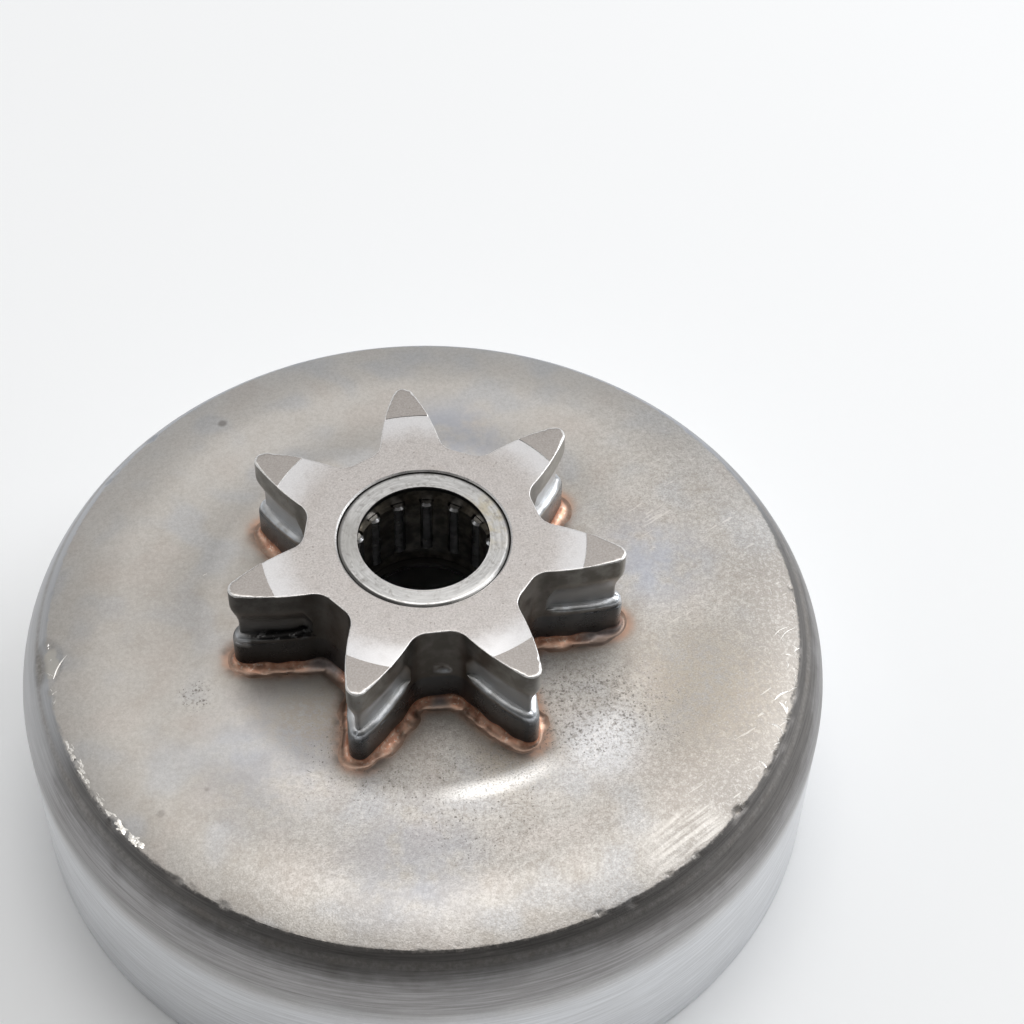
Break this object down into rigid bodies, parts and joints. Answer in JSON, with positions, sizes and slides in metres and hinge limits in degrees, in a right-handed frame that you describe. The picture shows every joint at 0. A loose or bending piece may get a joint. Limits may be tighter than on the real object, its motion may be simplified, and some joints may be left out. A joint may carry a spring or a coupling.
{
  "type": "clutch drum with spur sprocket",
  "caption": "Pressed steel chainsaw clutch drum with a brazed spur sprocket and a caged needle bearing, worn from use.",
  "frame": {"origin": "on the axis, in the plane of the drum's rim, which it stands on", "axes": "+Z along the axis, out of the sprocket's end; +Y towards a tooth"},
  "size_m": [0.0775, 0.0774, 0.0347],
  "materials": {
    "drum_steel": "worn satin steel with pits and heat tint",
    "sprocket_steel": "hardened steel, oil-dark flanks and a polished end",
    "copper_braze": "dull copper braze",
    "bearing_steel": "drawn steel with oil stain",
    "cage_steel": "dark oiled steel",
    "roller_steel": "ground bearing steel"
  },
  "bodies": {
    "drum": {"clutch_drum": "drum_steel", "spur_sprocket": "sprocket_steel", "braze_fillet": "copper_braze", "bearing_cup": "bearing_steel"},
    "cage": {"bearing_cage": "cage_steel"},
    "roller_01": {"needle_roller_01": "roller_steel"},
    "roller_02": {"needle_roller_02": "roller_steel"},
    "roller_03": {"needle_roller_03": "roller_steel"},
    "roller_04": {"needle_roller_04": "roller_steel"},
    "roller_05": {"needle_roller_05": "roller_steel"},
    "roller_06": {"needle_roller_06": "roller_steel"},
    "roller_07": {"needle_roller_07": "roller_steel"},
    "roller_08": {"needle_roller_08": "roller_steel"},
    "roller_09": {"needle_roller_09": "roller_steel"},
    "roller_10": {"needle_roller_10": "roller_steel"},
    "roller_11": {"needle_roller_11": "roller_steel"},
    "roller_12": {"needle_roller_12": "roller_steel"},
    "roller_13": {"needle_roller_13": "roller_steel"},
    "roller_14": {"needle_roller_14": "roller_steel"},
    "roller_15": {"needle_roller_15": "roller_steel"}
  },
  "joints": [
    {"name": "cage_spin", "type": "hinge", "parent": "drum", "child": "cage", "pos_m": [0, 0, 0.02859], "axis": [0, 0, 1], "continuous": true},
    {"name": "roller_01_spin", "type": "hinge", "parent": "cage", "child": "roller_01", "pos_m": [0.00663, 0.00111, 0.02859], "axis": [0, 0, 1], "continuous": true},
    {"name": "roller_02_spin", "type": "hinge", "parent": "cage", "child": "roller_02", "pos_m": [0.0056, 0.00371, 0.02859], "axis": [0, 0, 1], "continuous": true},
    {"name": "roller_03_spin", "type": "hinge", "parent": "cage", "child": "roller_03", "pos_m": [0.00361, 0.00567, 0.02859], "axis": [0, 0, 1], "continuous": true},
    {"name": "roller_04_spin", "type": "hinge", "parent": "cage", "child": "roller_04", "pos_m": [0.00099, 0.00665, 0.02859], "axis": [0, 0, 1], "continuous": true},
    {"name": "roller_05_spin", "type": "hinge", "parent": "cage", "child": "roller_05", "pos_m": [-0.0018, 0.00648, 0.02859], "axis": [0, 0, 1], "continuous": true},
    {"name": "roller_06_spin", "type": "hinge", "parent": "cage", "child": "roller_06", "pos_m": [-0.00427, 0.00519, 0.02859], "axis": [0, 0, 1], "continuous": true},
    {"name": "roller_07_spin", "type": "hinge", "parent": "cage", "child": "roller_07", "pos_m": [-0.00601, 0.003, 0.02859], "axis": [0, 0, 1], "continuous": true},
    {"name": "roller_08_spin", "type": "hinge", "parent": "cage", "child": "roller_08", "pos_m": [-0.00671, 0.00029, 0.02859], "axis": [0, 0, 1], "continuous": true},
    {"name": "roller_09_spin", "type": "hinge", "parent": "cage", "child": "roller_09", "pos_m": [-0.00625, -0.00246, 0.02859], "axis": [0, 0, 1], "continuous": true},
    {"name": "roller_10_spin", "type": "hinge", "parent": "cage", "child": "roller_10", "pos_m": [-0.00471, -0.00479, 0.02859], "axis": [0, 0, 1], "continuous": true},
    {"name": "roller_11_spin", "type": "hinge", "parent": "cage", "child": "roller_11", "pos_m": [-0.00235, -0.00629, 0.02859], "axis": [0, 0, 1], "continuous": true},
    {"name": "roller_12_spin", "type": "hinge", "parent": "cage", "child": "roller_12", "pos_m": [0.00041, -0.00671, 0.02859], "axis": [0, 0, 1], "continuous": true},
    {"name": "roller_13_spin", "type": "hinge", "parent": "cage", "child": "roller_13", "pos_m": [0.0031, -0.00596, 0.02859], "axis": [0, 0, 1], "continuous": true},
    {"name": "roller_14_spin", "type": "hinge", "parent": "cage", "child": "roller_14", "pos_m": [0.00526, -0.00418, 0.02859], "axis": [0, 0, 1], "continuous": true},
    {"name": "roller_15_spin", "type": "hinge", "parent": "cage", "child": "roller_15", "pos_m": [0.00651, -0.00168, 0.02859], "axis": [0, 0, 1], "continuous": true}
  ],
  "couplings": [
    {"joint": "roller_01_spin", "follows": "cage_spin", "ratio": -10.532},
    {"joint": "roller_02_spin", "follows": "cage_spin", "ratio": -10.532},
    {"joint": "roller_03_spin", "follows": "cage_spin", "ratio": -10.532},
    {"joint": "roller_04_spin", "follows": "cage_spin", "ratio": -10.532},
    {"joint": "roller_05_spin", "follows": "cage_spin", "ratio": -10.532},
    {"joint": "roller_06_spin", "follows": "cage_spin", "ratio": -10.532},
    {"joint": "roller_07_spin", "follows": "cage_spin", "ratio": -10.532},
    {"joint": "roller_08_spin", "follows": "cage_spin", "ratio": -10.532},
    {"joint": "roller_09_spin", "follows": "cage_spin", "ratio": -10.532},
    {"joint": "roller_10_spin", "follows": "cage_spin", "ratio": -10.532},
    {"joint": "roller_11_spin", "follows": "cage_spin", "ratio": -10.532},
    {"joint": "roller_12_spin", "follows": "cage_spin", "ratio": -10.532},
    {"joint": "roller_13_spin", "follows": "cage_spin", "ratio": -10.532},
    {"joint": "roller_14_spin", "follows": "cage_spin", "ratio": -10.532},
    {"joint": "roller_15_spin", "follows": "cage_spin", "ratio": -10.532}
  ]
}
